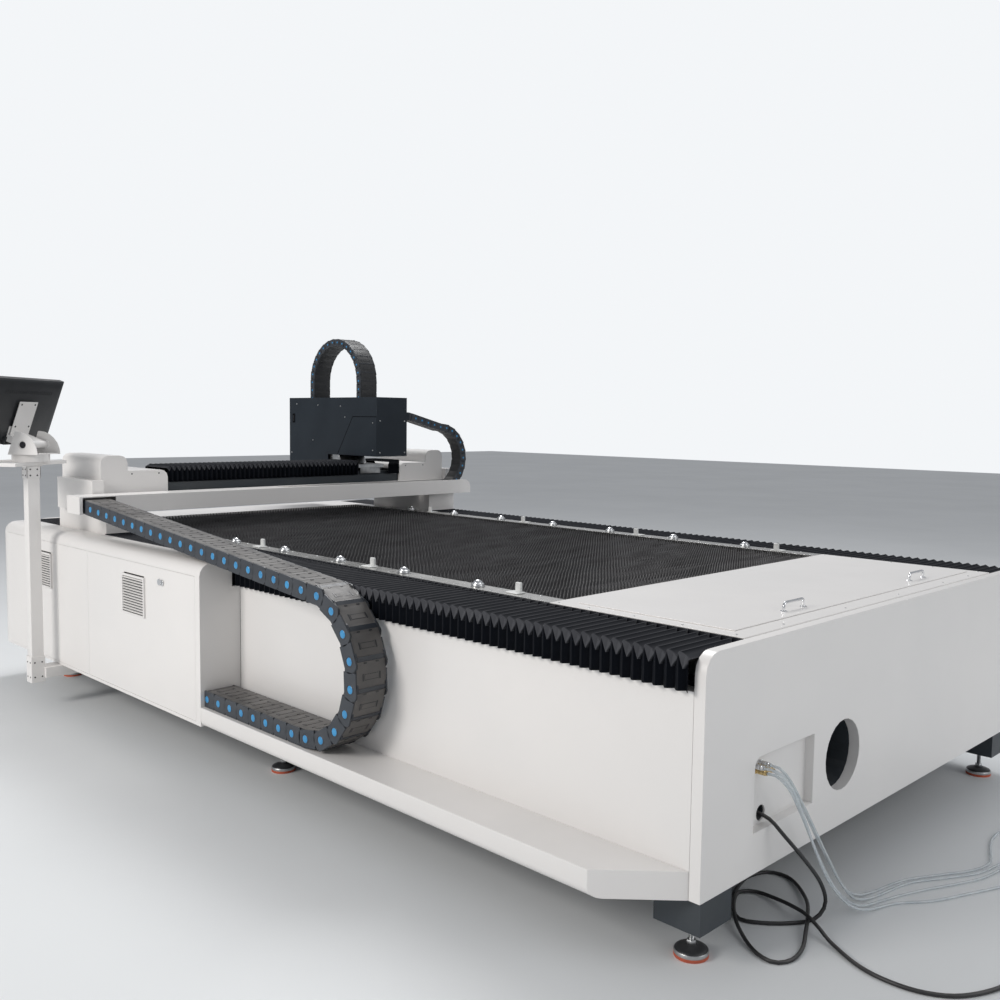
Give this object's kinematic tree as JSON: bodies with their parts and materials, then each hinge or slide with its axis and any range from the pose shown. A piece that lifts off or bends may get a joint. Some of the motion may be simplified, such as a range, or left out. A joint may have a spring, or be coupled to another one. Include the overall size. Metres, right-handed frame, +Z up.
{
  "type": "fiber laser cutting machine",
  "caption": "Flat-bed fiber laser cutter with a serrated slat bed, moving gantry and cutting head, bellows, drag chains, side cabinet and screen stand.",
  "frame": {"origin": "middle of the machine's footprint on the floor, without the cords that lie behind it", "axes": "+X to the rear end with the exhaust and connection openings, +Y to the far side away from the drag chain and cabinet, +Z up"},
  "size_m": [5.389, 3.0524, 2.0081],
  "materials": {
    "white_powder_coat": "satin",
    "dark_steel_paint": "satin",
    "charcoal_powder_coat": "matt",
    "bellows_cloth": "coated cloth",
    "chain_plastic": "matt",
    "slat_steel": "mill scale",
    "bright_steel": "machined",
    "zinc_plate": "zinc plated",
    "chrome": "polished",
    "brass": "nickel plated in part",
    "rubber": "satin",
    "clear_hose": "clear",
    "black_plastic": "fine texture"
  },
  "bodies": {
    "bed": {"bed_frame": "dark_steel_paint", "near_side_panel": "white_powder_coat", "far_side_panel": "white_powder_coat", "rear_end_plate": "white_powder_coat", "front_cover": "white_powder_coat", "air_fittings": "brass", "chain_ledge": "white_powder_coat", "cabinet_housing": "white_powder_coat", "service_panel": "white_powder_coat", "laser_source": "charcoal_powder_coat", "electrical_panel": "zinc_plate", "foot_near_rear": "rubber", "foot_near_middle": "rubber", "foot_near_front": "rubber", "foot_far_rear": "rubber", "foot_far_middle": "rubber", "foot_far_front": "rubber", "rear_cover": "white_powder_coat", "near_support_rail": "bright_steel", "far_support_rail": "bright_steel", "slat_grid": "slat_steel", "near_rear_bellows": "bellows_cloth", "near_front_bellows": "bellows_cloth", "far_rear_bellows": "bellows_cloth", "far_front_bellows": "bellows_cloth", "x_chain_lower_run": "chain_plastic", "stand_socket": "white_powder_coat", "stand_post": "white_powder_coat", "keyboard_tray": "white_powder_coat", "power_cable": "rubber", "power_cable_coil": "rubber", "air_hose_1": "clear_hose", "air_hose_2": "clear_hose", "air_hose_3": "clear_hose", "air_hose_4": "clear_hose", "air_hose_coil": "clear_hose"},
    "gantry": {"gantry_beam": "dark_steel_paint", "near_carriage": "white_powder_coat", "far_carriage": "white_powder_coat", "near_carriage_cover": "white_powder_coat", "far_carriage_cover": "white_powder_coat", "chain_tray": "white_powder_coat", "near_beam_bellows": "bellows_cloth", "far_beam_bellows": "bellows_cloth", "x_chain_upper_run": "chain_plastic", "y_chain_lower_run": "chain_plastic"},
    "long_chain_bend": {"x_chain_bend": "chain_plastic"},
    "head": {"head_saddle": "zinc_plate", "head_cover": "charcoal_powder_coat", "y_chain_upper_run": "chain_plastic", "z_chain": "chain_plastic"},
    "head_chain_bend": {"y_chain_bend": "chain_plastic"},
    "lifting_slide": {"cutting_head": "bright_steel"},
    "door": {"cabinet_door": "white_powder_coat"},
    "lock": {"door_lock": "chrome"},
    "hatch": {"lift_out_hatch": "white_powder_coat", "hatch_handle_near": "chrome", "hatch_handle_far": "chrome"},
    "screen_swivel": {"screen_bracket": "white_powder_coat"},
    "screen": {"monitor": "black_plastic"}
  },
  "joints": [
    {"name": "gantry_travel", "type": "slide", "parent": "bed", "child": "gantry", "axis": [1, 0, 0], "range_m": [-0.05, 2.4], "deforming": ["near_rear_bellows", "near_front_bellows", "far_rear_bellows", "far_front_bellows", "x_chain_lower_run", "x_chain_upper_run"]},
    {"name": "long_chain_roll", "type": "slide", "parent": "bed", "child": "long_chain_bend", "axis": [1, 0, 0], "range_m": [-0.025, 1.2]},
    {"name": "head_travel", "type": "slide", "parent": "gantry", "child": "head", "axis": [0, 1, 0], "range_m": [-1.22, 0.05], "deforming": ["near_beam_bellows", "far_beam_bellows", "y_chain_lower_run", "y_chain_upper_run"]},
    {"name": "head_chain_roll", "type": "slide", "parent": "gantry", "child": "head_chain_bend", "axis": [0, 1, 0], "range_m": [-0.61, 0.025]},
    {"name": "head_lift", "type": "slide", "parent": "head", "child": "lifting_slide", "axis": [0, 0, 1], "range_m": [-0.075, 0.045], "deforming": ["z_chain"]},
    {"name": "door_hinge", "type": "hinge", "parent": "bed", "child": "door", "pos_m": [-1.1375, -1.1038, 0.532], "axis": [0, 0, -1], "range_deg": [0, 105]},
    {"name": "lock_turn", "type": "hinge", "parent": "door", "child": "lock", "pos_m": [-0.3925, -1.1038, 0.777], "axis": [0, -1, 0], "range_deg": [0, 90]},
    {"name": "hatch_lift", "type": "slide", "parent": "bed", "child": "hatch", "axis": [0, 0, 1], "range_m": [0, 0.3]},
    {"name": "screen_turn", "type": "hinge", "parent": "bed", "child": "screen_swivel", "pos_m": [-1.5275, -1.2158, 1.28], "axis": [0, 0, 1], "range_deg": [-60, 60]},
    {"name": "screen_tilt", "type": "hinge", "parent": "screen_swivel", "child": "screen", "pos_m": [-1.5115, -1.2038, 1.3486], "axis": [0.6, -0.8, 0], "range_deg": [-15, 10]}
  ],
  "couplings": [
    {"joint": "long_chain_roll", "follows": "gantry_travel", "ratio": 0.5},
    {"joint": "head_chain_roll", "follows": "head_travel", "ratio": 0.5}
  ]
}
